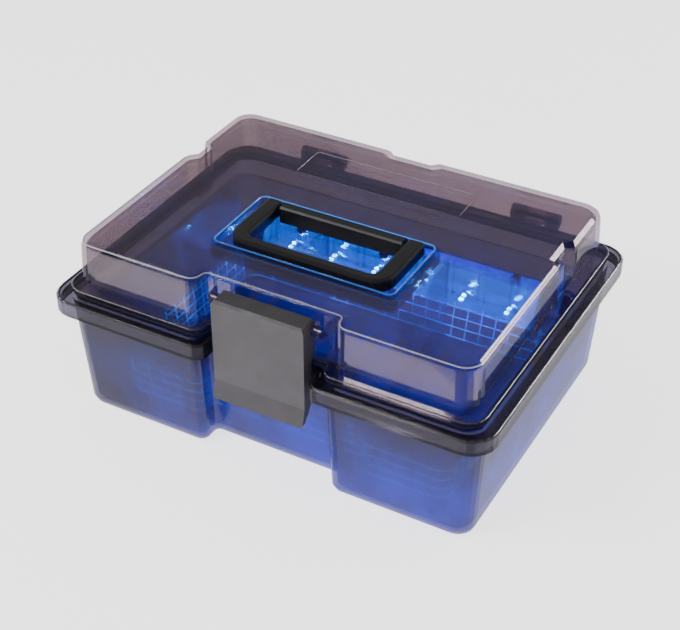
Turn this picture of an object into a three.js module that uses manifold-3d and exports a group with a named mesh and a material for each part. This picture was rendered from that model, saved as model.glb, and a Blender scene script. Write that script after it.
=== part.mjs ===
// A portable UV sterilizer cabinet for salon tools: a smoke-clear tub and lid with a blue LED lamp,
// a lift-out organizer tray, a front latch and a folding carrying handle.
// Millimetres, +Z up, +X to the right, -Y to the front. The origin is on the ground under the middle.
import * as THREE from "three";
import { mergeVertices } from "three/addons/utils/BufferGeometryUtils.js";
import Module from "manifold-3d";

const wasm = await Module();
wasm.setup();

// Driving dimensions
const RIM_WIDTH = 266;
const RIM_DEPTH = 200;
const RIM_TOP = 78;
const RIM_SKIRT = 9.3;
const LID_TOP = 110.8;
const WALL = 2.2;
const FIT = 0.3; // gap kept between neighbouring pieces
const FOOT_HEIGHT = 1.2; // how far the feet lift the tub

const RIM_PLATE = 2.6; // thickness of the rim's flat top
const LEDGE = 1.8; // how far the rim's flat reaches in over the wall
const TUB_TOP_INSET = 7; // rim edge to tub wall, under the rim
const TUB_BASE_INSET = 11.3; // rim edge to tub wall, at the base
const LID_INSET = 12; // rim edge to lid wall, at its base
const LID_TOP_INSET = 13;
const LID_FLANGE = 4.5; // how far the lid's foot stands out from its wall
const LID_FLANGE_THICK = 2.6;
const GASKET_THICK = 1.6;
const LID_EDGE = 4.5; // radius of the lid's top edge
const LID_LOW = RIM_TOP + GASKET_THICK + 0.15; // the lid's foot, just clear of the seal
const LABEL = { half: 52, front: 36, back: 62, depth: 0.4 }; // blank outlined panel behind the handle

const NOTCH_HALF = 38.5; // half-width of the front recess at the tub wall
const NOTCH_DEPTH = 12.9;
const RIM_NOTCH_FACE = -84.5; // front face of the rim inside the recess
const LID_NOTCH_FACE = -77.5;

const WELL_HALF = 55; // the handle pocket in the lid
const WELL_FRONT = -49;
const WELL_BACK = 4;
const WELL_DEPTH = 8;
const WELL_FLOOR = 2;

const HINGE_Y = 104.5;
const HINGE_Z = 80.5;
const HINGE_X = 72; // middle of each hinge
const HINGE_RADIUS = 4.2;
const TUB_KNUCKLE = { offset: 11, half: 4 }; // two of these on each side of a lid knuckle
const LID_KNUCKLE_HALF = 6.7;
const HINGE_PIN = 29;

const LATCH_HALF = 27.7;
const LATCH_FRONT = -93;
const LATCH_TOP = 106.6;
const LATCH_FOOT = 44.5;
const LATCH_PIN_Y = -83.5;
const LATCH_PIN_Z = 101.5;
const LATCH_FLANGE = 2.2;
const LATCH_BEAD_HALF = 18;
const LUG_X = 30.9; // middle of each lug that holds the latch pin
const LUG_HALF = 2.5;
const LATCH_PIN = 66;

const HANDLE_TOP = 112.8;
const HANDLE_HALF = 49;
const HANDLE_FRONT = -45.5;
const HANDLE_PIN_Y = -2.6;
const HANDLE_PIN_Z = 108.6;
const HANDLE_UNDER = 104.2;
const HANDLE_INNER = 39.5; // half-width of the grip's opening
const HANDLE_GRIP_BACK = -38.8;
const HANDLE_PIN = 17.4;
const HANDLE_MOUNT_HALF = 38;
const MOUNT_SCREW_X = 26;
const MOUNT_SCREW_Y = -2.5;

const TRAY_TOP = 76;
const TRAY_HALF = 110.5;
const TRAY_FRONT = -82;
const TRAY_BACK = 69;
const TRAY_NOTCH_FACE = -71;
const TRAY_FLOOR = 3.8;
const TRAY_WALL = 1.8;
const TRAY_DRAFT = 7;
const TRAY_LIP = 2.6;
const TRAY_SLOT_HALF = 4; // light slots in the tray's floor
const TRAY_SLOT_PITCH = 15;
const TRAY_SLOT_SPANS = [
  [-50, -8],
  [4, 50],
];
const RIB_PLACES = [-84, -63.5, -43, -22, 0, 18, 38, 58.5, 79, 99]; // each a pair that takes a divider
const RIB_LOW = 40;
const RIB_REACH = 4.5;

const DIVIDER_THICK = 1.6;
const DIVIDER_FOOT = TRAY_FLOOR + 2.2;
const LONG_DIVIDER_TOP = 68;
const LONG_DIVIDER_BACK = -5.9;
const REAR_DIVIDERS = { left: -43, right: 38 };
const REAR_DIVIDER_TOP = 64;
const FRONT_DIVIDERS = { left: -60, right: 60 };
const FRONT_DIVIDER_TOP = 60;

const LAMP_LEFT = -98;
const LAMP_RIGHT = 88;
const LAMP_Y = 77.5;
const LAMP_Z = 34;
const LED_COLUMNS = 6;
const LED_HALF = 1.7;
const LAMP_TOP = LAMP_Z + 16.5;
const LAMP_CAP = 4;
const LAMP_SCREW_Z = LAMP_Z + 12.5;
const LAMP_SCREWS = [-80, 70];

const MODULE_X = 115; // middle of the slim power module on the right wall
const MODULE_FRONT = -44;
const MODULE_BACK = 80;
const MODULE_LOW = 18;
const MODULE_HIGH = 30;
const MODULE_WIDTH = 9.2;
const MODULE_WALL = 1.4;
const MODULE_LEFT = MODULE_X - MODULE_WIDTH / 2;
const MODULE_RIGHT = MODULE_X + MODULE_WIDTH / 2;

const PANEL_X = 101; // jack and button, one above the other in the rear wall
const JACK_Z = 20;
const BUTTON_Z = 38;
const BUTTON_TRAVEL = 1.2;
const BUTTON_LENGTH = 8;
const PANEL_BORE = 8.5;
const PANEL_HOLE = 4.4;

const FOOT_RADIUS = 6;
const FOOT_PLACES = [
  [-98, -72],
  [98, -72],
  [-98, 72],
  [98, 72],
];

const PIN_RADIUS = 1.4;
const PIN_BORE = 1.7;
const SCREW_HEAD = 1.8;

// Materials
const plastic = (color, roughness, opacity = 1) =>
  new THREE.MeshStandardMaterial({ color, roughness, metalness: 0, opacity, transparent: opacity < 1 });
const metal = (color, roughness) =>
  new THREE.MeshStandardMaterial({ color, roughness, metalness: 1 });
const SMOKE = plastic(0x5a5450, 0.08, 0.45);
const BLACK_MATTE = plastic(0x1b1b1d, 0.55);
const BLACK_RUBBER = plastic(0x101012, 0.8);
const CLEAR = plastic(0xb8c4e8, 0.06, 0.3);
const BLUE_GLOW = plastic(0x1560ff, 0.1, 0.5);
const STEEL = metal(0xb9bcc2, 0.3);
const WHITE = plastic(0xe8ecf2, 0.4);
const BOARD_GREEN = plastic(0x1d5a3a, 0.5);
const GREY_WRAP = plastic(0x3c4450, 0.5);

// Closed three.js geometry to a manifold solid, and back
function solid(geometry) {
  const g = geometry.clone();
  g.deleteAttribute("normal");
  g.deleteAttribute("uv");
  const merged = mergeVertices(g, 1e-4);
  return new wasm.Manifold(
    new wasm.Mesh({
      numProp: 3,
      vertProperties: new Float32Array(merged.attributes.position.array),
      triVerts: new Uint32Array(merged.index.array),
    }),
  );
}

function geometryOf(body) {
  const mesh = body.getMesh();
  const g = new THREE.BufferGeometry();
  g.setAttribute("position", new THREE.BufferAttribute(new Float32Array(mesh.vertProperties), 3));
  g.setIndex(new THREE.BufferAttribute(new Uint32Array(mesh.triVerts), 1));
  g.computeVertexNormals();
  return g;
}

const root = new THREE.Group();
function piece(name, body, material) {
  const mesh = new THREE.Mesh(geometryOf(body), material);
  mesh.name = name;
  root.add(mesh);
}

// Box from its low and high corners
function box(x0, x1, y0, y1, z0, z1) {
  const g = new THREE.BoxGeometry(x1 - x0, y1 - y0, z1 - z0);
  g.translate((x0 + x1) / 2, (y0 + y1) / 2, (z0 + z1) / 2);
  return solid(g);
}

// Round bar along X, Y or Z, centred on a point
function bar(axis, radius, length, x, y, z, sides = 16) {
  const g = new THREE.CylinderGeometry(radius, radius, length, sides);
  if (axis === "x") g.rotateZ(Math.PI / 2);
  if (axis === "z") g.rotateX(Math.PI / 2);
  g.translate(x, y, z);
  return solid(g);
}

// Upright prism over an XY shape
function prism(shape, z0, z1, curveSegments = 5) {
  const g = new THREE.ExtrudeGeometry(shape, { depth: z1 - z0, bevelEnabled: false, curveSegments });
  g.translate(0, 0, z0);
  return solid(g);
}

// Prism along X over a YZ profile
function prismX(points, x0, x1) {
  const shape = new THREE.Shape(points.map(([y, z]) => new THREE.Vector2(y, z)));
  const g = new THREE.ExtrudeGeometry(shape, { depth: x1 - x0, bevelEnabled: false });
  // shape x -> world y, shape y -> world z, depth -> world x
  g.applyMatrix4(new THREE.Matrix4().set(0, 0, 1, x0, 1, 0, 0, 0, 0, 1, 0, 0, 0, 0, 0, 1));
  return solid(g);
}

// Corner points with a radius each become a polyline with round corners
function rounded(corners, steps = 5) {
  const points = [];
  corners.forEach(([x, y, r], i) => {
    const here = new THREE.Vector2(x, y);
    if (!r) {
      points.push(here);
      return;
    }
    const before = corners[(i + corners.length - 1) % corners.length];
    const after = corners[(i + 1) % corners.length];
    const toBefore = new THREE.Vector2(before[0] - x, before[1] - y).normalize();
    const toAfter = new THREE.Vector2(after[0] - x, after[1] - y).normalize();
    const from = here.clone().addScaledVector(toBefore, r);
    const to = here.clone().addScaledVector(toAfter, r);
    const centre = from.clone().add(to).sub(here);
    for (let k = 0; k <= steps; k++) {
      const angle = ((Math.PI / 2) * k) / steps;
      points.push(
        centre
          .clone()
          .addScaledVector(toAfter, -r * Math.cos(angle))
          .addScaledVector(toBefore, -r * Math.sin(angle)),
      );
    }
  });
  return points;
}

// The cabinet's outline, anticlockwise from the front left: a rectangle with a recess in its front.
// Every outline made with the same grooves has the same number of points, so two can be lofted.
function outline({ half, front, back, radius, notchHalf, notchFace, notchRadius = 5, grooves = null }) {
  const corners = [
    [-half, front, radius],
    [-notchHalf, front, notchRadius],
    [-notchHalf, notchFace, notchRadius * 0.6],
    [notchHalf, notchFace, notchRadius * 0.6],
    [notchHalf, front, notchRadius],
    [half, front, radius],
  ];
  if (grooves) {
    const { sideFrom, sideTo, sideDepth, rearHalf, rearDepth } = grooves;
    corners.push(
      [half, sideFrom, 0],
      [half - sideDepth, sideFrom + sideDepth, 0],
      [half - sideDepth, sideTo - sideDepth, 0],
      [half, sideTo, 0],
      [half, back, radius],
      [rearHalf, back, 0],
      [rearHalf - rearDepth, back - rearDepth, 0],
      [rearDepth - rearHalf, back - rearDepth, 0],
      [-rearHalf, back, 0],
      [-half, back, radius],
      [-half, sideTo, 0],
      [sideDepth - half, sideTo - sideDepth, 0],
      [sideDepth - half, sideFrom + sideDepth, 0],
      [-half, sideFrom, 0],
    );
  } else {
    corners.push([half, back, radius], [-half, back, radius]);
  }
  return rounded(corners);
}

// Closed solid through a stack of level outlines, each [points, z]
function loft(levels) {
  const count = levels[0][0].length;
  const position = [];
  levels.forEach(([points, z]) => points.forEach((p) => position.push(p.x, p.y, z)));
  const index = [];
  for (let level = 0; level + 1 < levels.length; level++) {
    for (let i = 0; i < count; i++) {
      const a = level * count + i;
      const b = level * count + ((i + 1) % count);
      index.push(a, b, b + count, a, b + count, a + count);
    }
  }
  const cap = (points, offset, flip) =>
    THREE.ShapeUtils.triangulateShape(points, []).forEach(([a, b, c]) =>
      index.push(offset + a, offset + (flip ? c : b), offset + (flip ? b : c)),
    );
  cap(levels[0][0], 0, true);
  cap(levels.at(-1)[0], (levels.length - 1) * count, false);
  const g = new THREE.BufferGeometry();
  g.setAttribute("position", new THREE.BufferAttribute(new Float32Array(position), 3));
  g.setIndex(index);
  return solid(g);
}

// Outline of the body at an inset from the rim's edge, at a recess of its own
function bodyOutline(inset, radius, notchHalf, notchFace, extra = {}) {
  return outline({
    half: RIM_WIDTH / 2 - inset,
    front: -RIM_DEPTH / 2 + inset,
    back: RIM_DEPTH / 2 - inset,
    radius,
    notchHalf,
    notchFace,
    ...extra,
  });
}

// Tub: drafted walls, rolled rim, hinge knuckles
const tubTopNotch = -RIM_DEPTH / 2 + TUB_TOP_INSET + NOTCH_DEPTH;
const tubBaseNotch = -RIM_DEPTH / 2 + TUB_BASE_INSET + NOTCH_DEPTH;

function tubShell() {
  const wallTop = (inset) =>
    bodyOutline(TUB_TOP_INSET + inset, 12 - inset, NOTCH_HALF + inset, tubTopNotch + inset);
  const wallBase = (inset) =>
    bodyOutline(TUB_BASE_INSET + inset, 10 - inset / 2, NOTCH_HALF + 1 + inset, tubBaseNotch + inset);
  const outer = loft([
    [wallBase(4), FOOT_HEIGHT],
    [wallBase(1.2), FOOT_HEIGHT + 1.4],
    [wallBase(0), FOOT_HEIGHT + 4.5],
    [wallTop(0), RIM_TOP - 1],
  ]);
  const inner = loft([
    [wallBase(WALL + 2), FOOT_HEIGHT + WALL],
    [wallBase(WALL), FOOT_HEIGHT + WALL + 3],
    [wallTop(WALL), RIM_TOP - RIM_PLATE],
  ]);
  const mouth = loft([
    [wallTop(WALL + LEDGE), RIM_TOP - RIM_PLATE - 1],
    [wallTop(WALL + LEDGE), RIM_TOP + 1],
  ]);
  const rimOutline = (inset) =>
    bodyOutline(inset, 15 - inset / 2, 31.5 + inset, RIM_NOTCH_FACE + inset, { notchRadius: 7 });
  const rim = loft([
    [rimOutline(0), RIM_TOP - RIM_SKIRT],
    [rimOutline(0), RIM_TOP - 1.2],
    [rimOutline(1.2), RIM_TOP],
  ]);
  const underRim = loft([
    [rimOutline(2.2), RIM_TOP - RIM_SKIRT - 1],
    [rimOutline(2.2), RIM_TOP - RIM_PLATE],
  ]);
  return rim.subtract(underRim).add(outer).subtract(inner).subtract(mouth);
}

// Knuckle with a foot that joins it to the body it belongs to
function knuckle(x0, x1, footProfile) {
  const barrel = bar("x", HINGE_RADIUS, x1 - x0, (x0 + x1) / 2, HINGE_Y, HINGE_Z, 20);
  return barrel.add(prismX(footProfile, x0, x1));
}
const tubKnuckleFoot = [
  [RIM_DEPTH / 2 - 1.5, RIM_TOP - 7],
  [HINGE_Y - 0.5, HINGE_Z - HINGE_RADIUS + 0.1],
  [HINGE_Y - 2.6, HINGE_Z - 3.2],
  [RIM_DEPTH / 2 - 1.5, RIM_TOP - 0.6],
];
const lidKnuckleFoot = [
  [87, RIM_TOP + GASKET_THICK + 0.2],
  [HINGE_Y - 3.4, RIM_TOP + GASKET_THICK + 0.2],
  [HINGE_Y - 3.2, HINGE_Z + 1.8],
  [87, HINGE_Z + 1.8],
];
const hingeBore = (x) => bar("x", PIN_BORE, 30, x, HINGE_Y, HINGE_Z, 12);

function tub() {
  let body = tubShell();
  for (const side of [-1, 1]) {
    for (const end of [-1, 1]) {
      const middle = side * HINGE_X + end * TUB_KNUCKLE.offset;
      body = body.add(knuckle(middle - TUB_KNUCKLE.half, middle + TUB_KNUCKLE.half, tubKnuckleFoot));
    }
    body = body.subtract(hingeBore(side * HINGE_X));
  }
  // Bosses that the lamp's screws go into
  for (const x of LAMP_SCREWS) {
    body = body.add(bar("y", 3, 4.6, x, 87.5, LAMP_SCREW_Z, 14));
    body = body.subtract(bar("y", 1.5, 3.6, x, 86.4, LAMP_SCREW_Z, 10));
  }
  // Holes in the rear wall for the charging jack and the power button
  for (const z of [JACK_Z, BUTTON_Z]) {
    body = body.subtract(bar("y", PANEL_HOLE, 14, PANEL_X, 88, z, 20));
  }
  for (const [x, y] of FOOT_PLACES) {
    body = body.subtract(bar("z", FOOT_RADIUS + FIT, 1.6, x, y, FOOT_HEIGHT, 16));
  }
  return body;
}

// Lid: top, walls, foot flange, handle pocket, latch lugs, hinge knuckles
const lidGrooves = { sideFrom: 24, sideTo: 43, sideDepth: 4.5, rearHalf: 15, rearDepth: 4 };
function lidOutline(inset, topward) {
  const wallInset = LID_INSET + (LID_TOP_INSET - LID_INSET) * topward + inset;
  return bodyOutline(wallInset, 11 - inset * 0.5, 40.5 + inset, LID_NOTCH_FACE + inset, {
    notchRadius: 6,
    grooves: {
      ...lidGrooves,
      rearHalf: lidGrooves.rearHalf + inset,
      sideFrom: lidGrooves.sideFrom - inset,
      sideTo: lidGrooves.sideTo + inset,
    },
  });
}

// Upright block with round corners over a rectangle that is centred left to right
function roundedBox({ half, front, back }, radius, z0, z1, steps = 4) {
  const points = rounded(
    [
      [-half, front, radius],
      [half, front, radius],
      [half, back, radius],
      [-half, back, radius],
    ],
    steps,
  );
  return prism(new THREE.Shape(points), z0, z1);
}

function lid() {
  const edge = (k) => LID_EDGE * (1 - Math.cos((k * Math.PI) / 6));
  const rise = (k) => LID_EDGE * Math.sin((k * Math.PI) / 6);
  const start = LID_TOP - LID_EDGE;
  const outer = loft([
    [lidOutline(0, 0), LID_LOW],
    [lidOutline(0, 1), start],
    [lidOutline(edge(1), 1), start + rise(1)],
    [lidOutline(edge(2), 1), start + rise(2)],
    [lidOutline(LID_EDGE, 1), LID_TOP],
  ]);
  const inner = loft([
    [lidOutline(WALL, 0), LID_LOW - 1],
    [lidOutline(WALL, 1), start],
    [lidOutline(LID_EDGE - 0.3, 1), LID_TOP - WALL],
  ]);
  const flangeOutline = bodyOutline(LID_INSET - LID_FLANGE, 11, 36.5, LID_NOTCH_FACE - LID_FLANGE, {
    notchRadius: 6,
  });
  const flange = loft([
    [flangeOutline, LID_LOW],
    [flangeOutline, LID_LOW + LID_FLANGE_THICK],
  ]);
  const wellFloor = LID_TOP - WELL_DEPTH;
  const wellWalls = roundedBox(
    { half: WELL_HALF + WALL, front: WELL_FRONT - WALL, back: WELL_BACK + WALL },
    5,
    wellFloor - WELL_FLOOR,
    LID_TOP - 1,
  );
  const well = roundedBox(
    { half: WELL_HALF, front: WELL_FRONT, back: WELL_BACK },
    4,
    wellFloor,
    LID_TOP + 1,
  );
  const label = roundedBox(LABEL, 2, LID_TOP - LABEL.depth, LID_TOP + 1, 2);
  let body = outer.add(flange).subtract(inner).add(wellWalls).subtract(well).subtract(label);
  for (const side of [-1, 1]) {
    const hingeX = side * HINGE_X;
    body = body.add(knuckle(hingeX - LID_KNUCKLE_HALF, hingeX + LID_KNUCKLE_HALF, lidKnuckleFoot));
    body = body.subtract(hingeBore(hingeX));
    body = body.add(latchLug(side * LUG_X));
    body = body.subtract(bar("z", 1.5, 8, side * MOUNT_SCREW_X, MOUNT_SCREW_Y, wellFloor - 1, 12));
  }
  return body.subtract(latchBore());
}

const latchBore = () => bar("x", PIN_BORE, 70, 0, LATCH_PIN_Y, LATCH_PIN_Z, 12);

function latchLug(x) {
  const profile = [
    [LID_NOTCH_FACE + 1, LATCH_PIN_Z - 5],
    [LATCH_PIN_Y, LATCH_PIN_Z - 4],
    [LATCH_PIN_Y - 3.4, LATCH_PIN_Z - 1.8],
    [LATCH_PIN_Y - 3.4, LATCH_PIN_Z + 1.6],
    [LATCH_PIN_Y, LATCH_PIN_Z + 3.4],
    [LID_NOTCH_FACE + 1, LATCH_PIN_Z + 3.4],
  ];
  return prismX(profile, x - LUG_HALF, x + LUG_HALF);
}

// Latch: a plate with side flanges, a capped top, a kicked-out foot and a catch bead
function latch() {
  const back = LATCH_FRONT + 3;
  const plate = [
    [LATCH_FRONT - 2.6, LATCH_FOOT],
    [LATCH_FRONT + 0.2, LATCH_FOOT - 0.4],
    [back, LATCH_FOOT + 9],
    [back, LATCH_TOP - 2.6],
    [-81, LATCH_TOP - 2.6],
    [-81, LATCH_TOP - 1],
    [-81.6, LATCH_TOP],
    [LATCH_FRONT + 1.2, LATCH_TOP],
    [LATCH_FRONT, LATCH_TOP - 1.2],
    [LATCH_FRONT, LATCH_FOOT + 11],
  ];
  const flange = [
    [LATCH_FRONT + 0.5, LATCH_FOOT + 3],
    [-89, LATCH_FOOT + 6],
    [-85.2, LATCH_FOOT + 14],
    [-85.2, RIM_TOP + 3],
    [-83.6, RIM_TOP + 6],
    [-81, LATCH_PIN_Z - 4],
    [-81, LATCH_TOP - 1],
    [LATCH_FRONT + 1, LATCH_TOP - 1],
  ];
  const bead = [
    [back - 0.5, RIM_TOP - RIM_SKIRT - 6],
    [-85.2, RIM_TOP - RIM_SKIRT - 3],
    [-85.2, RIM_TOP - RIM_SKIRT - 1],
    [back - 0.5, RIM_TOP - RIM_SKIRT],
  ];
  const body = prismX(plate, -LATCH_HALF, LATCH_HALF)
    .add(prismX(flange, -LATCH_HALF, LATCH_FLANGE - LATCH_HALF))
    .add(prismX(flange, LATCH_HALF - LATCH_FLANGE, LATCH_HALF))
    .add(prismX(bead, -LATCH_BEAD_HALF, LATCH_BEAD_HALF));
  // Front outline with round corners, which trims the rest
  const face = new THREE.Shape(
    rounded([
      [-LATCH_HALF, -LATCH_TOP - 1, 4.5],
      [LATCH_HALF, -LATCH_TOP - 1, 4.5],
      [LATCH_HALF, 0.6 - LATCH_FOOT, 3],
      [-LATCH_HALF, 0.6 - LATCH_FOOT, 3],
    ]),
  );
  const g = new THREE.ExtrudeGeometry(face, { depth: 30, bevelEnabled: false });
  g.rotateX(-Math.PI / 2);
  g.translate(0, LATCH_FRONT - 10, 0);
  return body.intersect(solid(g)).subtract(latchBore());
}

// Handle: a flat U-shaped bail round a fixed mount bar
function handleBail() {
  const end = 1.4;
  const shape = new THREE.Shape(
    rounded([
      [-HANDLE_HALF, HANDLE_FRONT, 12],
      [HANDLE_HALF, HANDLE_FRONT, 12],
      [HANDLE_HALF, end, 2],
      [HANDLE_INNER, end, 2],
      [HANDLE_INNER, HANDLE_GRIP_BACK, 5],
      [-HANDLE_INNER, HANDLE_GRIP_BACK, 5],
      [-HANDLE_INNER, end, 2],
      [-HANDLE_HALF, end, 2],
    ]),
  );
  const bevel = 1.6;
  const g = new THREE.ExtrudeGeometry(shape, {
    depth: HANDLE_TOP - HANDLE_UNDER - 2 * bevel,
    bevelThickness: bevel,
    bevelSize: bevel,
    bevelOffset: -bevel,
    bevelSegments: 2,
  });
  g.translate(0, 0, HANDLE_UNDER + bevel);
  return solid(g).subtract(bar("x", PIN_BORE, 120, 0, HANDLE_PIN_Y, HANDLE_PIN_Z, 12));
}

function handleMount() {
  const profile = [
    [-6, LID_TOP - WELL_DEPTH + FIT],
    [1, LID_TOP - WELL_DEPTH + FIT],
    [1, HANDLE_TOP - 1],
    [0, HANDLE_TOP],
    [-5, HANDLE_TOP],
    [-6, HANDLE_TOP - 1],
  ];
  let body = prismX(profile, -HANDLE_MOUNT_HALF, HANDLE_MOUNT_HALF);
  for (const side of [-1, 1]) {
    const pinHole = bar("x", PIN_BORE, 16, side * HANDLE_MOUNT_HALF, HANDLE_PIN_Y, HANDLE_PIN_Z, 12);
    const screwHole = bar("z", 1.4, 6, side * MOUNT_SCREW_X, MOUNT_SCREW_Y, LID_TOP - WELL_DEPTH + 1, 12);
    body = body.subtract(pinHole).subtract(screwHole);
  }
  return body;
}

// Organizer tray: drafted clear box that follows the recess, with slot ribs for the dividers
function trayOutline(inset, low) {
  const tuck = inset + TRAY_DRAFT * low;
  return outline({
    half: TRAY_HALF - tuck,
    front: TRAY_FRONT + tuck,
    back: TRAY_BACK - tuck,
    radius: 9 - inset * 0.5,
    notchHalf: 46.5 + inset + TRAY_DRAFT * low * 0.5,
    notchFace: TRAY_NOTCH_FACE + tuck,
  });
}

function tray() {
  const outer = loft([
    [trayOutline(2, 1), TRAY_FLOOR],
    [trayOutline(0, 1), TRAY_FLOOR + 2.5],
    [trayOutline(0, 0), TRAY_TOP],
  ]);
  const lip = loft([
    [trayOutline(-TRAY_LIP, 0), TRAY_TOP - TRAY_WALL],
    [trayOutline(-TRAY_LIP, 0), TRAY_TOP],
  ]);
  const inner = loft([
    [trayOutline(TRAY_WALL + 2, 1), TRAY_FLOOR + 1.8],
    [trayOutline(TRAY_WALL, 1), TRAY_FLOOR + 4],
    [trayOutline(TRAY_WALL, 0), TRAY_TOP + 1],
  ]);
  let body = outer.add(lip).subtract(inner);
  const ribTop = TRAY_TOP - 3;
  const slope = TRAY_DRAFT / (TRAY_TOP - TRAY_FLOOR);
  const backAt = (z) => TRAY_BACK - TRAY_WALL + 0.5 - slope * (TRAY_TOP - z);
  const ribProfile = [
    [backAt(RIB_LOW) - RIB_REACH, RIB_LOW],
    [backAt(RIB_LOW), RIB_LOW],
    [backAt(ribTop), ribTop],
    [backAt(ribTop) - RIB_REACH, ribTop],
  ];
  for (const x of RIB_PLACES) {
    body = body.add(prismX(ribProfile, x - 2.9, x - 1.5));
    body = body.add(prismX(ribProfile, x + 1.5, x + 2.9));
  }
  // Slots in the floor let the light through
  for (let x = -6 * TRAY_SLOT_PITCH; x <= 6 * TRAY_SLOT_PITCH; x += TRAY_SLOT_PITCH) {
    for (const [front, back] of TRAY_SLOT_SPANS) {
      const slot = box(x - TRAY_SLOT_HALF, x + TRAY_SLOT_HALF, front, back, TRAY_FLOOR - 1, TRAY_FLOOR + 3);
      body = body.subtract(slot);
    }
  }
  return body;
}

function longDivider() {
  const half = TRAY_HALF - TRAY_WALL - 0.8;
  const shape = new THREE.Shape([
    new THREE.Vector2(TRAY_DRAFT + 2 - half, -DIVIDER_FOOT),
    new THREE.Vector2(1.2 - half, -LONG_DIVIDER_TOP),
    new THREE.Vector2(half - 1.2, -LONG_DIVIDER_TOP),
    new THREE.Vector2(half - TRAY_DRAFT - 2, -DIVIDER_FOOT),
  ]);
  const g = new THREE.ExtrudeGeometry(shape, { depth: DIVIDER_THICK, bevelEnabled: false });
  g.rotateX(-Math.PI / 2);
  g.translate(0, LONG_DIVIDER_BACK, 0);
  let body = solid(g);
  for (const x of [-72, 0, 72]) body = body.subtract(bar("y", 11, 8, x, -5, 70, 20));
  return body;
}

function rearDivider(x) {
  const half = DIVIDER_THICK / 2;
  const plate = box(x - half, x + half, -3.9, TRAY_BACK - 12, DIVIDER_FOOT, REAR_DIVIDER_TOP);
  return plate.subtract(bar("x", 9, 6, x, 28, REAR_DIVIDER_TOP + 2, 20));
}

function frontDivider(x) {
  const half = DIVIDER_THICK / 2;
  return box(x - half, x + half, -69, -6.3, DIVIDER_FOOT, FRONT_DIVIDER_TOP);
}

// UV lamp along the rear wall: reflector trough, board, LEDs, faceted cover, end caps
function lampReflector() {
  const trough = [
    [LAMP_Y - 5.6, LAMP_Z - 11],
    [LAMP_Y + 7.4, LAMP_Z - 11],
    [LAMP_Y + 7.4, LAMP_TOP],
    [LAMP_Y + 6, LAMP_TOP],
    [LAMP_Y + 6, LAMP_Z - 2],
    [LAMP_Y + 3.5, LAMP_Z - 8.4],
    [LAMP_Y - 5.6, LAMP_Z - 9.6],
  ];
  let body = prismX(trough, LAMP_LEFT, LAMP_RIGHT);
  for (const x of LAMP_SCREWS) body = body.subtract(bar("y", 1.6, 20, x, LAMP_Y + 6, LAMP_SCREW_Z, 10));
  return body;
}

// A small box on the trough's sloping bed, its middle line at y, from z0 to z1 above the bed
const BED_TILT = Math.atan2(1.2, 9.1);
function onBed(x0, x1, y, width, z0, z1) {
  const g = new THREE.BoxGeometry(x1 - x0, width, z1 - z0);
  g.translate((x0 + x1) / 2, y, (z0 + z1) / 2);
  g.rotateX(BED_TILT);
  g.translate(0, LAMP_Y - 1, LAMP_Z - 9);
  return solid(g);
}

const ledX = (i) => LAMP_LEFT + 18 + (i * (LAMP_RIGHT - LAMP_LEFT - 36)) / (LED_COLUMNS - 1);

function lampCover() {
  const cover = [
    [LAMP_Y - 7.2, LAMP_Z - 11],
    [LAMP_Y - 5.9, LAMP_Z - 11],
    [LAMP_Y - 5.9, LAMP_Z - 2.6],
    [LAMP_Y - 1.4, LAMP_Z + 4.8],
    [LAMP_Y + 5.6, LAMP_Z + 7.2],
    [LAMP_Y + 5.6, LAMP_Z + 8.6],
    [LAMP_Y - 2.2, LAMP_Z + 6],
    [LAMP_Y - 7.2, LAMP_Z - 2.2],
  ];
  return prismX(cover, LAMP_LEFT, LAMP_RIGHT);
}

function lampCap(x0, x1) {
  const cap = [
    [LAMP_Y - 7.2, LAMP_Z - 11],
    [LAMP_Y + 7.4, LAMP_Z - 11],
    [LAMP_Y + 7.4, LAMP_TOP],
    [LAMP_Y + 4, LAMP_TOP],
    [LAMP_Y - 2.2, LAMP_Z + 6],
    [LAMP_Y - 7.2, LAMP_Z - 2.2],
  ];
  return prismX(cap, x0, x1);
}

// Power module: slim case on the right wall, open to the left, with its cover
function moduleCase() {
  const outer = box(MODULE_LEFT, MODULE_RIGHT, MODULE_FRONT, MODULE_BACK, MODULE_LOW, MODULE_HIGH);
  const inner = box(
    MODULE_LEFT - 1,
    MODULE_RIGHT - MODULE_WALL,
    MODULE_FRONT + MODULE_WALL,
    MODULE_BACK - MODULE_WALL,
    MODULE_LOW + MODULE_WALL,
    MODULE_HIGH - MODULE_WALL,
  );
  return outer.subtract(inner).subtract(bar("y", 1.8, 8, MODULE_X, MODULE_BACK, 24, 12));
}

// Outer face of the tub's sloping rear wall at a height
function rearWallAt(z) {
  const base = RIM_DEPTH / 2 - TUB_BASE_INSET;
  return base + ((TUB_BASE_INSET - TUB_TOP_INSET) * z) / RIM_TOP;
}

// Round panel part in the rear wall: a body behind the wall and a flange outside, with a blind bore
function panelPart(z, boreRadius) {
  const radius = 5.6;
  const flangeOuter = rearWallAt(z + radius) + FIT + 1.4;
  const body = bar("y", 3.9, 12.5, PANEL_X, flangeOuter - 7.3, z, 20);
  const flange = bar("y", radius, 1.4, PANEL_X, flangeOuter - 0.7, z, 20);
  const bore = bar("y", boreRadius, 2 * PANEL_BORE, PANEL_X, flangeOuter, z, 16);
  return body.add(flange).subtract(bore);
}

// Insulated lead through a few points
function lead(points) {
  const path = new THREE.CatmullRomCurve3(points.map((p) => new THREE.Vector3(...p)));
  const section = new THREE.Shape();
  section.absarc(0, 0, 1, 0, 2 * Math.PI);
  const settings = { steps: 14, curveSegments: 4, extrudePath: path, bevelEnabled: false };
  return solid(new THREE.ExtrudeGeometry(section, settings));
}

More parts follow.
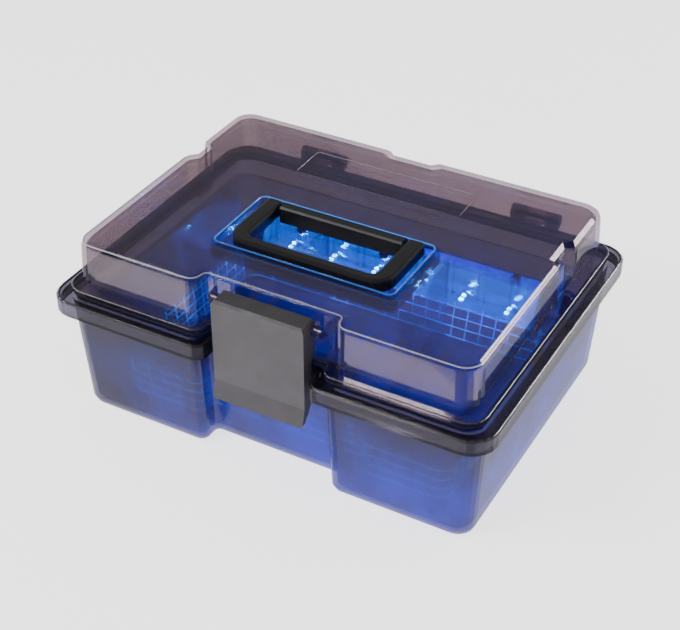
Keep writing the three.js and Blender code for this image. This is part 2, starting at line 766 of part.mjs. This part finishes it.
// Screw along +Y or +Z with its head at the low end
function screw(axis, x, y, z, headRadius, shankLength) {
  const shift = (d) => (axis === "y" ? [x, y + d, z] : [x, y, z + d]);
  const overlap = 0.2;
  const middle = SCREW_HEAD + (shankLength - overlap) / 2;
  const head = bar(axis, headRadius, SCREW_HEAD, ...shift(SCREW_HEAD / 2), 12);
  return head.add(bar(axis, 1.1, shankLength + overlap, ...shift(middle), 10));
}

// The assembly
piece("tub", tub(), SMOKE);
FOOT_PLACES.forEach(([x, y], i) => {
  const height = FOOT_HEIGHT + 0.5;
  piece(`foot_${i + 1}`, bar("z", FOOT_RADIUS, height, x, y, height / 2, 16), BLACK_RUBBER);
});
const sealOutline = (inset) =>
  bodyOutline(inset, 15 - inset / 2, 29 + inset, RIM_NOTCH_FACE - 5.5 + inset, { notchRadius: 6 });
const gasket = loft([
  [sealOutline(7.9), RIM_TOP + 0.15],
  [sealOutline(7.9), RIM_TOP + GASKET_THICK],
]);
const gasketMouth = loft([
  [sealOutline(10.4), RIM_TOP - 1],
  [sealOutline(10.4), RIM_TOP + GASKET_THICK + 1],
]);
piece("rim_gasket", gasket.subtract(gasketMouth), BLACK_RUBBER);

piece("lid_shell", lid(), SMOKE);
for (const [side, name] of [
  [-1, "left"],
  [1, "right"],
]) {
  const hingePin = bar("x", PIN_RADIUS, HINGE_PIN, side * HINGE_X, HINGE_Y, HINGE_Z, 12);
  piece(`hinge_pin_${name}`, hingePin, STEEL);
  const handlePin = bar("x", PIN_RADIUS, HANDLE_PIN, side * 39.6, HANDLE_PIN_Y, HANDLE_PIN_Z, 12);
  piece(`handle_pin_${name}`, handlePin, STEEL);
  const headLow = LID_TOP - WELL_DEPTH - WELL_FLOOR - FIT - SCREW_HEAD;
  piece(`mount_screw_${name}`, screw("z", side * MOUNT_SCREW_X, MOUNT_SCREW_Y, headLow, 2.8, 5.6), STEEL);
}
piece("latch_plate", latch(), BLACK_MATTE);
piece("latch_pin", bar("x", PIN_RADIUS, LATCH_PIN, 0, LATCH_PIN_Y, LATCH_PIN_Z, 12), STEEL);
piece("handle_bail", handleBail(), BLACK_MATTE);
piece("handle_mount", handleMount(), BLACK_MATTE);

piece("organizer_tray", tray(), CLEAR);
piece("divider_long", longDivider(), CLEAR);
for (const side of ["left", "right"]) {
  piece(`divider_rear_${side}`, rearDivider(REAR_DIVIDERS[side]), CLEAR);
  piece(`divider_front_${side}`, frontDivider(FRONT_DIVIDERS[side]), CLEAR);
}

piece("lamp_reflector", lampReflector(), STEEL);
piece("lamp_board", onBed(LAMP_LEFT + 2, LAMP_RIGHT - 2, 0, 7.6, 0.4, 1.4), BOARD_GREEN);
for (let i = 0; i < LED_COLUMNS; i++) {
  const left = ledX(i) - LED_HALF;
  const right = ledX(i) + LED_HALF;
  piece(`led_front_${i + 1}`, onBed(left, right, -2, 2.8, 1.6, 2.8), BLUE_GLOW);
  piece(`led_rear_${i + 1}`, onBed(left, right, 2, 2.8, 1.6, 2.8), BLUE_GLOW);
}
piece("lamp_cover", lampCover(), BLUE_GLOW);
piece("lamp_cap_left", lampCap(LAMP_LEFT - LAMP_CAP, LAMP_LEFT - FIT), WHITE);
piece("lamp_cap_right", lampCap(LAMP_RIGHT + FIT, LAMP_RIGHT + LAMP_CAP), WHITE);
LAMP_SCREWS.forEach((x, i) => {
  piece(`lamp_screw_${i + 1}`, screw("y", x, LAMP_Y + 3.9, LAMP_SCREW_Z, 2.6, 4), STEEL);
});

piece("module_case", moduleCase(), BLACK_MATTE);
const moduleLow = MODULE_LOW + 2;
const moduleHigh = MODULE_HIGH - 2;
const coverLeft = MODULE_LEFT - MODULE_WALL;
piece(
  "module_cover",
  box(coverLeft, MODULE_LEFT - FIT, MODULE_FRONT, MODULE_BACK, MODULE_LOW, MODULE_HIGH),
  BLACK_MATTE,
);
piece("battery_pack", box(MODULE_LEFT + 0.6, MODULE_RIGHT - 2.2, -40, 30, moduleLow, moduleHigh), GREY_WRAP);
piece("driver_board", box(MODULE_X - 1, MODULE_X + 0.4, 36, 72, moduleLow, moduleHigh), BOARD_GREEN);
piece("charge_jack", panelPart(JACK_Z, 3.2), BLACK_MATTE);
piece("button_housing", panelPart(BUTTON_Z, 3), BLACK_MATTE);
const buttonMiddle = 88.6 + BUTTON_TRAVEL;
piece("power_button", bar("y", 2.6, BUTTON_LENGTH, PANEL_X, buttonMiddle, BUTTON_Z, 20), WHITE);
const lampLead = [
  [92.7, 78, 28],
  [99, 80, 29.5],
  [108, 83.4, 28],
  [113.4, 83, 25],
  [115, 80.6, 24],
];
const jackLead = [
  [PANEL_X, 77.9, 20],
  [101.6, 75, 20],
  [104, 73, 20],
  [108.2, 72.5, 20],
];
piece("lamp_lead", lead(lampLead), BLACK_RUBBER);
piece("jack_lead", lead(jackLead), BLACK_RUBBER);
piece("reed_switch", box(118.4, 122, -8, 8, 60, 63.6), WHITE);
piece("lid_magnet", box(116.1, 118.2, -5, 5, 81, 86), STEEL);

root.position.y = -(HINGE_Y + HINGE_RADIUS - RIM_DEPTH / 2) / 2;

export default root;
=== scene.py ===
# A portable UV sterilizer cabinet: smoke-clear tub and lid, blue LED lamp, clear divided tray,
# black latch and handle. The CAD frame keeps its shapes; this script gives them their surfaces,
# adds the fine pieces, and sets the light and the camera. Metres, +Z up, -Y to the front.
import math

import bpy
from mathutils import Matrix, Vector


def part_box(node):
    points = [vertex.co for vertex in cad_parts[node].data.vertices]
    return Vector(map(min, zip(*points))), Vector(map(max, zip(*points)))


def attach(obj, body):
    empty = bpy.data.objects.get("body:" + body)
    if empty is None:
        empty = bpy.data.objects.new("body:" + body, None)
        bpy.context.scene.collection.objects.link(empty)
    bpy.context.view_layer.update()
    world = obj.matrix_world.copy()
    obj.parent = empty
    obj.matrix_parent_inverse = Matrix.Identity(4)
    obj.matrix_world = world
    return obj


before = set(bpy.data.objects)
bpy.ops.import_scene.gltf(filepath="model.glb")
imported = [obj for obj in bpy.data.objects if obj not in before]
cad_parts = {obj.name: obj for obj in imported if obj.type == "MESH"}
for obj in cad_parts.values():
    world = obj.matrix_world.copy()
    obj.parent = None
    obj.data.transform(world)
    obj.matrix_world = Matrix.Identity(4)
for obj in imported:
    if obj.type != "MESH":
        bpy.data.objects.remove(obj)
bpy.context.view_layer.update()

MM = 0.001

# Driving places in millimetres, as the frame has them. The body's own middle line is y = 0 here,
# and Y_SHIFT carries it to the frame.
Y_SHIFT = -4.35
RIM_HALF = 133.0
RIM_FRONT = -100.0
RIM_BACK = 100.0
RIM_TOP = 78.0
LID_TOP = 110.8
LID_INSET = 13.0
LABEL = (52.0, 36.0, 62.0)
WELL = (55.0, -49.0, 4.0)
TRAY_HALF = 110.5
TRAY_FRONT = -82.0
TRAY_BACK = 69.0
TRAY_TOP = 76.0
TRAY_FLOOR = 3.8
TRAY_WALL = 1.8
TRAY_DRAFT = 7.0
WAFFLE_ROWS = (9, 16, 23, 30)  # heights of the waffle's level ribs
UPRIGHT_PITCH = 9
SHORTEST_RUN = 4  # a shorter stretch, as round a corner, has no uprights
TEETH = 12  # on each side of the recess
TOOTH_PITCH = 4.2
LAMP_LOW, LAMP_HIGH = (Vector(corner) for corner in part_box("lamp_cover"))

# The view: where the camera stands, which way it looks and its lens
CAMERA_PLACE = Vector((0.3347, -0.6125, 0.5462))
CAMERA_AZIMUTH = math.radians(29.03)
CAMERA_PITCH = math.radians(35.64)
CAMERA_LENS_MM = 78.8

# Colours, in linear light
BLUE_LIGHT = (0.0, 0.035, 1.0)
BLUE_HOT = (0.0, 0.26, 1.0)
# The walls' blue is a painted glow that stands in for the lamp's light scattered in the plastic.
GLOW_FADE_X = (-0.13, 0.03)  # where the walls' blue grows from its left share to all of it
GLOSS_SHARE = 0.3  # share of gloss on a clear wall at a grazing look
SMOKE_TINT = (0.34, 0.32, 0.38)


def make_camera():
    data = bpy.data.cameras.new("camera")
    data.lens = CAMERA_LENS_MM
    data.sensor_width = 36.0
    data.clip_end = 20.0
    camera = bpy.data.objects.new("camera", data)
    bpy.context.collection.objects.link(camera)
    camera.location = CAMERA_PLACE
    camera.rotation_euler = (math.pi / 2 - CAMERA_PITCH, 0.0, CAMERA_AZIMUTH)
    bpy.context.scene.camera = camera


# ---------------------------------------------------------------- materials


class Nodes:
    """A short way to write a material's node tree."""

    def __init__(self, name):
        self.material = bpy.data.materials.new(name)
        self.material.use_nodes = True
        self.tree = self.material.node_tree
        self.tree.nodes.clear()
        self.output = self.tree.nodes.new("ShaderNodeOutputMaterial")

    def add(self, kind, **settings):
        node = self.tree.nodes.new("ShaderNode" + kind)
        for key, value in settings.items():
            setattr(node, key, value)
        return node

    def link(self, source, target):
        self.tree.links.new(source, target)

    def noise(self, scale, detail=3.0, roughness=0.5):
        place = self.add("TexCoord")
        noise = self.add("TexNoise")
        noise.inputs["Scale"].default_value = scale
        noise.inputs["Detail"].default_value = detail
        noise.inputs["Roughness"].default_value = roughness
        self.link(place.outputs["Object"], noise.inputs["Vector"])
        return noise.outputs["Fac"]

    def ramp(self, source, stops):
        ramp = self.add("ValToRGB")
        elements = ramp.color_ramp.elements
        while len(elements) < len(stops):
            elements.new(0.5)
        for element, (position, colour) in zip(elements, stops):
            element.position = position
            element.color = (*colour, 1.0) if len(colour) == 3 else colour
        self.link(source, ramp.inputs["Fac"])
        return ramp.outputs["Color"]

    def grey_ramp(self, source, low, high, start=0.3, end=0.7):
        return self.ramp(source, [(start, (low,) * 3), (end, (high,) * 3)])

    def bump(self, height, strength, distance):
        bump = self.add("Bump")
        bump.inputs["Strength"].default_value = strength
        bump.inputs["Distance"].default_value = distance
        self.link(height, bump.inputs["Height"])
        return bump.outputs["Normal"]

    def done(self, surface):
        self.link(surface, self.output.inputs["Surface"])
        return self.material


def moulded_plastic(name, colour, roughness, grain=900.0, depth=0.00003, ior=1.5):
    """Opaque plastic with a fine spark grain, slight mottling and uneven gloss."""
    n = Nodes(name)
    shader = n.add("BsdfPrincipled")
    dark = tuple(c * 0.88 for c in colour)
    light = tuple(min(1.0, c * 1.12) for c in colour)
    n.link(n.ramp(n.noise(60.0), [(0.3, dark), (0.7, light)]), shader.inputs["Base Color"])
    fine = n.noise(grain, 2.0)
    n.link(n.grey_ramp(n.noise(140.0), roughness - 0.06, roughness + 0.06), shader.inputs["Roughness"])
    n.link(n.bump(fine, 0.5, depth), shader.inputs["Normal"])
    shader.inputs["IOR"].default_value = ior
    return n.done(shader.outputs["BSDF"])


def smooth_step(n, source, start, end, low, high):
    """A smooth change from low to high as source goes from start to end."""
    step = n.add("MapRange", interpolation_type="SMOOTHSTEP")
    step.inputs["From Min"].default_value = start
    step.inputs["From Max"].default_value = end
    step.inputs["To Min"].default_value = low
    step.inputs["To Max"].default_value = high
    n.link(source, step.inputs["Value"])
    return step


def wall_glow(n, strength, height, left_share):
    """How much painted blue light a wall gives off, in place of the lamp's light scattered in it: most low
    down, none at the rim, and less to the left.
    """
    place = n.add("TexCoord")
    split = n.add("SeparateXYZ")
    n.link(place.outputs["Object"], split.inputs["Vector"])
    rise = smooth_step(n, split.outputs["Z"], height[0], height[1], 1.0, 0.0)
    side = smooth_step(n, split.outputs["X"], *GLOW_FADE_X, left_share, 1.0)
    both = n.add("Math", operation="MULTIPLY")
    n.link(rise.outputs["Result"], both.inputs[0])
    n.link(side.outputs["Result"], both.inputs[1])
    mottled = n.add("Math", operation="MULTIPLY")
    n.link(both.outputs["Value"], mottled.inputs[0])
    n.link(n.grey_ramp(n.noise(34.0, 3.0), 0.35, 1.15, 0.35, 0.65), mottled.inputs[1])
    full = n.add("Math", operation="MULTIPLY")
    n.link(mottled.outputs["Value"], full.inputs[0])
    full.inputs[1].default_value = strength
    return full.outputs["Value"]


def clear_plastic(name, tint, body_colour, haze, roughness=0.05, glow=None, glow_colour=BLUE_LIGHT):
    """Thin clear moulding. What is behind it shows through its tint, a haze of its own colour lies
    over that, and a gloss grows towards its edges. glow is light that its own material gives off:
    one strength, or the settings of wall_glow. It stands in for light scattered in the plastic."""
    n = Nodes(name)
    clear = n.add("BsdfTransparent")
    clear.inputs["Color"].default_value = (*tint, 1.0)
    body = n.add("BsdfPrincipled")
    body.inputs["Base Color"].default_value = (*body_colour, 1.0)
    body.inputs["IOR"].default_value = 1.5
    body.inputs["Roughness"].default_value = 0.4
    if glow:
        body.inputs["Emission Color"].default_value = (*glow_colour, 1.0)
        if isinstance(glow, dict):
            n.link(wall_glow(n, **glow), body.inputs["Emission Strength"])
        else:
            body.inputs["Emission Strength"].default_value = glow
    gloss = n.add("BsdfPrincipled")
    gloss.inputs["Metallic"].default_value = 1.0
    gloss.inputs["Base Color"].default_value = (0.95, 0.95, 0.95, 1.0)
    wear = n.noise(160.0, 3.0, 0.6)
    n.link(n.grey_ramp(wear, roughness, roughness + 0.05, 0.45, 0.8), gloss.inputs["Roughness"])
    n.link(n.bump(n.noise(30.0, 1.0), 0.06, 0.0003), gloss.inputs["Normal"])
    inner = n.add("MixShader")
    inner.inputs["Fac"].default_value = haze
    n.link(clear.outputs["BSDF"], inner.inputs[1])
    n.link(body.outputs["BSDF"], inner.inputs[2])
    edge = n.add("LayerWeight")
    edge.inputs["Blend"].default_value = 0.33
    share = n.grey_ramp(edge.outputs["Fresnel"], 0.0, GLOSS_SHARE, 0.03, 1.0)
    outer = n.add("MixShader")
    n.link(share, outer.inputs["Fac"])
    n.link(inner.outputs["Shader"], outer.inputs[1])
    n.link(gloss.outputs["BSDF"], outer.inputs[2])
    return n.done(outer.outputs["Shader"])


def glowing(name, colour, strength):
    n = Nodes(name)
    shader = n.add("BsdfPrincipled")
    shader.inputs["Roughness"].default_value = 0.2
    shader.inputs["Emission Strength"].default_value = strength
    shader.inputs["Base Color"].default_value = (0.02, 0.1, 0.4, 1.0)
    low = tuple(c * 0.7 for c in colour)
    n.link(n.ramp(n.noise(90.0), [(0.3, low), (0.7, colour)]), shader.inputs["Emission Color"])
    return n.done(shader.outputs["BSDF"])


def steel(name, colour=(0.56, 0.57, 0.6), roughness=0.28):
    n = Nodes(name)
    shader = n.add("BsdfPrincipled")
    shader.inputs["Metallic"].default_value = 1.0
    dark = tuple(c * 0.85 for c in colour)
    n.link(n.ramp(n.noise(80.0), [(0.3, dark), (0.7, colour)]), shader.inputs["Base Color"])
    n.link(n.grey_ramp(n.noise(400.0, 5.0), roughness - 0.08, roughness + 0.1), shader.inputs["Roughness"])
    n.link(n.bump(n.noise(700.0, 4.0), 0.2, 0.00002), shader.inputs["Normal"])
    return n.done(shader.outputs["BSDF"])


def assign(material, *names):
    for name in names:
        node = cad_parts[name]
        node.data.materials.clear()
        node.data.materials.append(material)


def dress_frame():
    # The tub, lid and tray glow with painted blue light, strongest low down and to the right.
    tub_glow = {"strength": 2.2, "height": (0.022, 0.07), "left_share": 0.16}
    smoke_tub = clear_plastic("smoke_tub", SMOKE_TINT, (0.02, 0.018, 0.022), 0.16, 0.05, tub_glow)
    lid_glow = {"strength": 0.5, "height": (0.07, 0.2), "left_share": 0.5}
    smoke_lid = clear_plastic("smoke_lid", (0.59, 0.53, 0.55), (0.05, 0.04, 0.04), 0.05, 0.04, lid_glow)
    tray_glow = {"strength": 3.0, "height": (0.01, 0.075), "left_share": 0.3}
    clear = clear_plastic("clear_tray", (0.86, 0.88, 0.95), (0.1, 0.12, 0.2), 0.06, 0.04, tray_glow)
    assign(smoke_tub, "tub")
    assign(smoke_lid, "lid_shell")
    dividers = [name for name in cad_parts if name.startswith("divider_")]
    assign(clear, "organizer_tray", *dividers)

    handle = moulded_plastic("black_handle", (0.012, 0.012, 0.014), 0.34, ior=1.35)
    assign(handle, "handle_bail", "handle_mount")
    assign(moulded_plastic("black_latch", (0.06, 0.056, 0.062), 0.42, ior=1.3), "latch_plate")
    assign(moulded_plastic("black_case", (0.015, 0.015, 0.018), 0.4), "module_case", "module_cover")
    assign(moulded_plastic("black_panel", (0.02, 0.02, 0.022), 0.35), "charge_jack", "button_housing")
    feet = [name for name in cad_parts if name.startswith("foot_")]
    rubber = moulded_plastic("rubber", (0.012, 0.012, 0.013), 0.75, 500.0, 0.00006)
    assign(rubber, "rim_gasket", "lamp_lead", "jack_lead", *feet)
    assign(moulded_plastic("white_moulding", (0.75, 0.78, 0.82), 0.35), "lamp_cap_left", "lamp_cap_right")
    assign(moulded_plastic("switch_white", (0.7, 0.72, 0.75), 0.3), "power_button", "reed_switch")
    assign(moulded_plastic("board_green", (0.02, 0.12, 0.05), 0.35), "lamp_board", "driver_board")
    assign(moulded_plastic("cell_wrap", (0.03, 0.05, 0.09), 0.3), "battery_pack")
    pins = [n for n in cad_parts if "pin_" in n or n.endswith("_pin") or "screw" in n]
    assign(steel("steel"), "lid_magnet", *pins)
    assign(steel("reflector", (0.35, 0.55, 0.9), 0.18), "lamp_reflector")

    lens = clear_plastic("lamp_lens", (0.45, 0.85, 1.0), (0.01, 0.2, 0.8), 0.3, 0.08, 4.5, BLUE_HOT)
    assign(lens, "lamp_cover")
    leds = [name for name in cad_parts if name.startswith("led_")]
    assign(glowing("led", (0.05, 0.5, 1.0), 6.0), *leds)


# ---------------------------------------------------------------- fine pieces


def rounded(corners, steps=6):
    """Corner points with a radius each, in millimetres, as a closed line with round corners."""
    points = []
    for i, (x, y, radius) in enumerate(corners):
        here = Vector((x, y))
        if not radius:
            points.append(here)
            continue
        before = (Vector(corners[i - 1][:2]) - here).normalized()
        after = (Vector(corners[(i + 1) % len(corners)][:2]) - here).normalized()
        centre = here + (before + after) * radius
        for k in range(steps + 1):
            angle = math.pi / 2 * k / steps
            points.append(centre - after * radius * math.cos(angle) - before * radius * math.sin(angle))
    return points


def recessed(half, front, back, radius, notch_half, notch_face, notch_radius):
    """The cabinet's outline seen from above: a rectangle with a recess in its front."""
    return rounded(
        [
            (-half, front, radius),
            (-notch_half, front, notch_radius),
            (-notch_half, notch_face, notch_radius * 0.6),
            (notch_half, notch_face, notch_radius * 0.6),
            (notch_half, front, notch_radius),
            (half, front, radius),
            (half, back, radius),
            (-half, back, radius),
        ]
    )


def rectangle(half, front, back, radius):
    corners = ((-half, front), (half, front), (half, back), (-half, back))
    return rounded([(x, y, radius) for x, y in corners])


def level(points, z):
    """A flat line in millimetres at a height, as points in the frame."""
    return [Vector((p.x, p.y + Y_SHIFT, z)) * MM for p in points]


def tube_mesh(line, radius, closed, verts, faces, sides=8):
    """Round bead along a line, added to verts and faces."""
    base = len(verts)
    count = len(line)
    for i, point in enumerate(line):
        ahead = line[(i + 1) % count] if closed or i + 1 < count else point
        behind = line[i - 1] if closed or i else point
        along = (ahead - behind).normalized()
        up = Vector((0, 0, 1)) if abs(along.z) < 0.9 else Vector((0, 1, 0))
        across = along.cross(up).normalized()
        rise = across.cross(along)
        for k in range(sides):
            angle = 2 * math.pi * k / sides
            verts.append(point + (across * math.cos(angle) + rise * math.sin(angle)) * radius * MM)
    for i in range(count if closed else count - 1):
        here = base + i * sides
        there = base + (i + 1) % count * sides
        for k in range(sides):
            turn = (k + 1) % sides
            faces.append((here + k, here + turn, there + turn, there + k))
    if not closed:
        faces.append(tuple(base + k for k in reversed(range(sides))))
        faces.append(tuple(base + (count - 1) * sides + k for k in range(sides)))


def add_piece(name, verts, faces, material, body):
    mesh = bpy.data.meshes.new(name)
    mesh.from_pydata(verts, [], faces)
    mesh.polygons.foreach_set("use_smooth", [True] * len(faces))
    mesh.materials.append(material)
    obj = bpy.data.objects.new(name, mesh)
    bpy.context.collection.objects.link(obj)
    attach(obj, body)
    return obj


def beads(name, lines, radius, material, body, closed=True):
    verts, faces = [], []
    for line in lines:
        tube_mesh(line, radius, closed, verts, faces)
    return add_piece(name, verts, faces, material, body)


def edge_beads():
    """Beads along the edges of the rim, the lid, its handle pocket and label panel, in pale colours that
    paint in highlights; the pocket's bead glows with painted blue light.
    """
    # The rim and lid-foot beads are paler than the smoke tub: a painted highlight along these edges.
    smoke_edge_painted_highlight = clear_plastic("smoke_edge_painted_highlight", (0.6, 0.55, 0.56), (0.12, 0.1, 0.1), 0.4, 0.06)
    inset = 1.2
    rim = recessed(
        RIM_HALF - inset, RIM_FRONT + inset, RIM_BACK - inset, 14.4, 31.5 + inset, -84.5 + inset, 7
    )
    beads("rim_bead", [level(rim, RIM_TOP - 0.9)], 0.75, smoke_edge_painted_highlight, "base")
    foot = recessed(125.1, -92.1, 92.1, 10.8, 36.9, -81.9, 6)
    beads("lid_foot_bead", [level(foot, 82.1)], 0.5, smoke_edge_painted_highlight, "lid")

    # Near-white bead: a painted highlight along the lid's top edges and the label panel's frame.
    painted_highlight_edge = clear_plastic("painted_highlight_edge", (0.9, 0.88, 0.88), (0.6, 0.56, 0.56), 0.4, 0.05)
    shoulder = LID_INSET + 1.5
    top = [
        (-RIM_HALF + shoulder, 20, 0),
        (-RIM_HALF + shoulder, RIM_FRONT + shoulder, 9.5),
        (-42, RIM_FRONT + shoulder, 6),
        (-42, -76, 3.6),
        (42, -76, 3.6),
        (42, RIM_FRONT + shoulder, 6),
        (RIM_HALF - shoulder, RIM_FRONT + shoulder, 9.5),
        (RIM_HALF - shoulder, 20, 0),
    ]
    beads("lid_edge_bead", [level(rounded(top), LID_TOP - 1.2)], 0.45, painted_highlight_edge, "lid", closed=False)
    beads("label_frame", [level(rectangle(*LABEL, 2), LID_TOP - 0.25)], 0.25, painted_highlight_edge, "lid")
    # The pocket's rim bead glows cyan: painted light, as if piped along the plastic's edge.
    pocket_edge_painted_glow = clear_plastic(
        "pocket_edge_painted_glow", (0.5, 0.8, 1.0), (0.02, 0.15, 0.5), 0.5, 0.08, 1.2, BLUE_HOT
    )
    beads("pocket_bead", [level(rectangle(*WELL, 4), LID_TOP - 0.6)], 0.5, pocket_edge_painted_glow, "lid")


def tray_line(inset, z):
    """The tray's outline at a height, at an inset from its outer face."""
    tuck = inset + TRAY_DRAFT * (TRAY_TOP - z) / (TRAY_TOP - TRAY_FLOOR)
    return recessed(
        TRAY_HALF - tuck, TRAY_FRONT + tuck, TRAY_BACK - tuck, 8, 46.5 + tuck / 2, -71 + tuck, 5
    )


def tray_ribs():
    """Lip bead with a painted highlight, and the raised waffle of ribs low on the tray's inner walls,
    which glow with painted blue light.
    """
    # Beige, pale bead on the tray's lip: a painted highlight along its outer edge.
    lip_painted_highlight = clear_plastic("tray_lip_painted_highlight", (0.85, 0.8, 0.78), (0.45, 0.36, 0.3), 0.5, 0.08)
    beads("tray_lip_bead", [level(tray_line(-2.1, TRAY_TOP), TRAY_TOP - 0.4)], 0.4, lip_painted_highlight, "tray")
    # The ribs glow blue: painted light from the lamp caught in them.
    glowing_rib = clear_plastic("tray_rib_painted_glow", (0.6, 0.85, 1.0), (0.02, 0.2, 0.6), 0.5, 0.08, 3.0, BLUE_HOT)
    rows = [level(tray_line(TRAY_WALL + 0.2, z), z) for z in WAFFLE_ROWS]
    beads("waffle_rows", rows, 0.5, glowing_rib, "tray")
    uprights = []
    foot, head = 8, 33
    low = level(tray_line(TRAY_WALL + 0.2, foot), foot)
    high = level(tray_line(TRAY_WALL + 0.2, head), head)
    for i, (start, end) in enumerate(zip(low, high)):
        far = low[(i + 1) % len(low)] - start
        far_high = high[(i + 1) % len(high)] - end
        if far.length < SHORTEST_RUN * MM:
            continue
        count = max(1, round(far.length / (UPRIGHT_PITCH * MM)))
        for k in range(count):
            uprights.append([start + far * (k / count), end + far_high * (k / count)])
    beads("waffle_uprights", uprights, 0.5, glowing_rib, "tray", closed=False)


def comb_teeth():
    """Tapered teeth that hang inside the tray's front walls, with a faint painted blue glow."""
    # Faint blue glow on the teeth: painted light.
    glowing_tooth = clear_plastic("glowing_tooth", (0.5, 0.6, 0.85), (0.05, 0.07, 0.2), 0.5, 0.08, 0.5)
    lines = []
    for side in (-1, 1):
        for k in range(TEETH):
            x = side * (50 + TOOTH_PITCH * k)
            y = TRAY_FRONT + TRAY_WALL + 1.5
            lines.append(
                [Vector((x, y + Y_SHIFT, 71)) * MM, Vector((x, y + 2.4 + Y_SHIFT, 42)) * MM]
            )
    beads("front_teeth", lines, 0.7, glowing_tooth, "tray", closed=False)


def led_lenses():
    """A small dome over each LED."""
    glow = glowing("led_lens", (0.3, 0.85, 1.0), 200.0)
    rings, sides = 4, 12
    for name in sorted(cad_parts):
        if not name.startswith("led_"):
            continue
        low, high = (Vector(corner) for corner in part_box(name))
        middle = (low + high) / 2
        radius = 1.5 * MM
        verts, faces = [], []
        for ring in range(rings):
            lift = math.pi / 2 * ring / rings
            for k in range(sides):
                turn = 2 * math.pi * k / sides
                flat = radius * math.cos(lift)
                x = middle.x + flat * math.cos(turn)
                y = middle.y + flat * math.sin(turn)
                verts.append((x, y, high.z + radius * math.sin(lift) * 0.8))
        verts.append((middle.x, middle.y, high.z + radius * 0.8))
        for ring in range(rings - 1):
            for k in range(sides):
                a = ring * sides + k
                b = ring * sides + (k + 1) % sides
                faces.append((a, b, b + sides, a + sides))
        last = (rings - 1) * sides
        faces += [(last + k, last + (k + 1) % sides, len(verts) - 1) for k in range(sides)]
        faces.append(tuple(reversed(range(sides))))
        add_piece("lens_" + name, verts, faces, glow, "base")


# ---------------------------------------------------------------- light and surroundings


def area_light(name, place, aim, size, power, colour=(1, 1, 1)):
    data = bpy.data.lights.new(name, "AREA")
    data.shape = "RECTANGLE"
    data.size, data.size_y = size
    data.energy = power
    data.color = colour
    light = bpy.data.objects.new(name, data)
    bpy.context.collection.objects.link(light)
    light.location = place
    direction = Vector(aim) - Vector(place)
    light.rotation_euler = direction.to_track_quat("-Z", "Y").to_euler()
    return light


def lamp_light():
    """A blue light in front of the lamp's cover, which lights the inside. It isn't seen itself."""
    middle = (LAMP_LOW + LAMP_HIGH) / 2
    place = (middle.x, LAMP_LOW.y - 0.004, LAMP_HIGH.z - 0.012)
    light = area_light("lamp_glow", place, (0.0, -0.05, 0.02), (0.18, 0.016), 3.0, BLUE_LIGHT)
    light.visible_camera = False
    light.visible_glossy = False
    light.visible_transmission = False


def surroundings():
    """A pale floor that is lit from within, so that it reads near white, and a soft studio."""
    n = Nodes("floor")
    shader = n.add("BsdfPrincipled")
    shader.inputs["Roughness"].default_value = 0.6
    pale = [(0.3, (0.93, 0.93, 0.94)), (0.7, (0.95, 0.95, 0.96))]
    n.link(n.ramp(n.noise(3.0), pale), shader.inputs["Base Color"])
    shader.inputs["Emission Color"].default_value = (1.0, 1.0, 1.0, 1.0)
    shader.inputs["Emission Strength"].default_value = 2.0
    material = n.done(shader.outputs["BSDF"])
    mesh = bpy.data.meshes.new("floor")
    reach = 6.0  # metres, past the edge of the picture
    corners = [(-reach, -reach, 0), (reach, -reach, 0), (reach, reach, 0), (-reach, reach, 0)]
    mesh.from_pydata(corners, [], [(0, 1, 2, 3)])
    mesh.materials.append(material)
    floor = bpy.data.objects.new("floor", mesh)
    bpy.context.collection.objects.link(floor)

    world = bpy.data.worlds.new("studio")
    bpy.context.scene.world = world
    world.use_nodes = True
    background = world.node_tree.nodes["Background"]
    background.inputs["Color"].default_value = (1.0, 1.0, 1.0, 1.0)
    background.inputs["Strength"].default_value = 0.45
    area_light("key", (-0.48, -0.74, 0.85), (0, 0, 0.08), (0.5, 0.12), 7.0)
    area_light("side", (0.9, 0.8, 0.35), (0, 0, 0.08), (0.7, 0.1), 5.0)


make_camera()
dress_frame()
edge_beads()
tray_ribs()
comb_teeth()
led_lenses()
lamp_light()
surroundings()
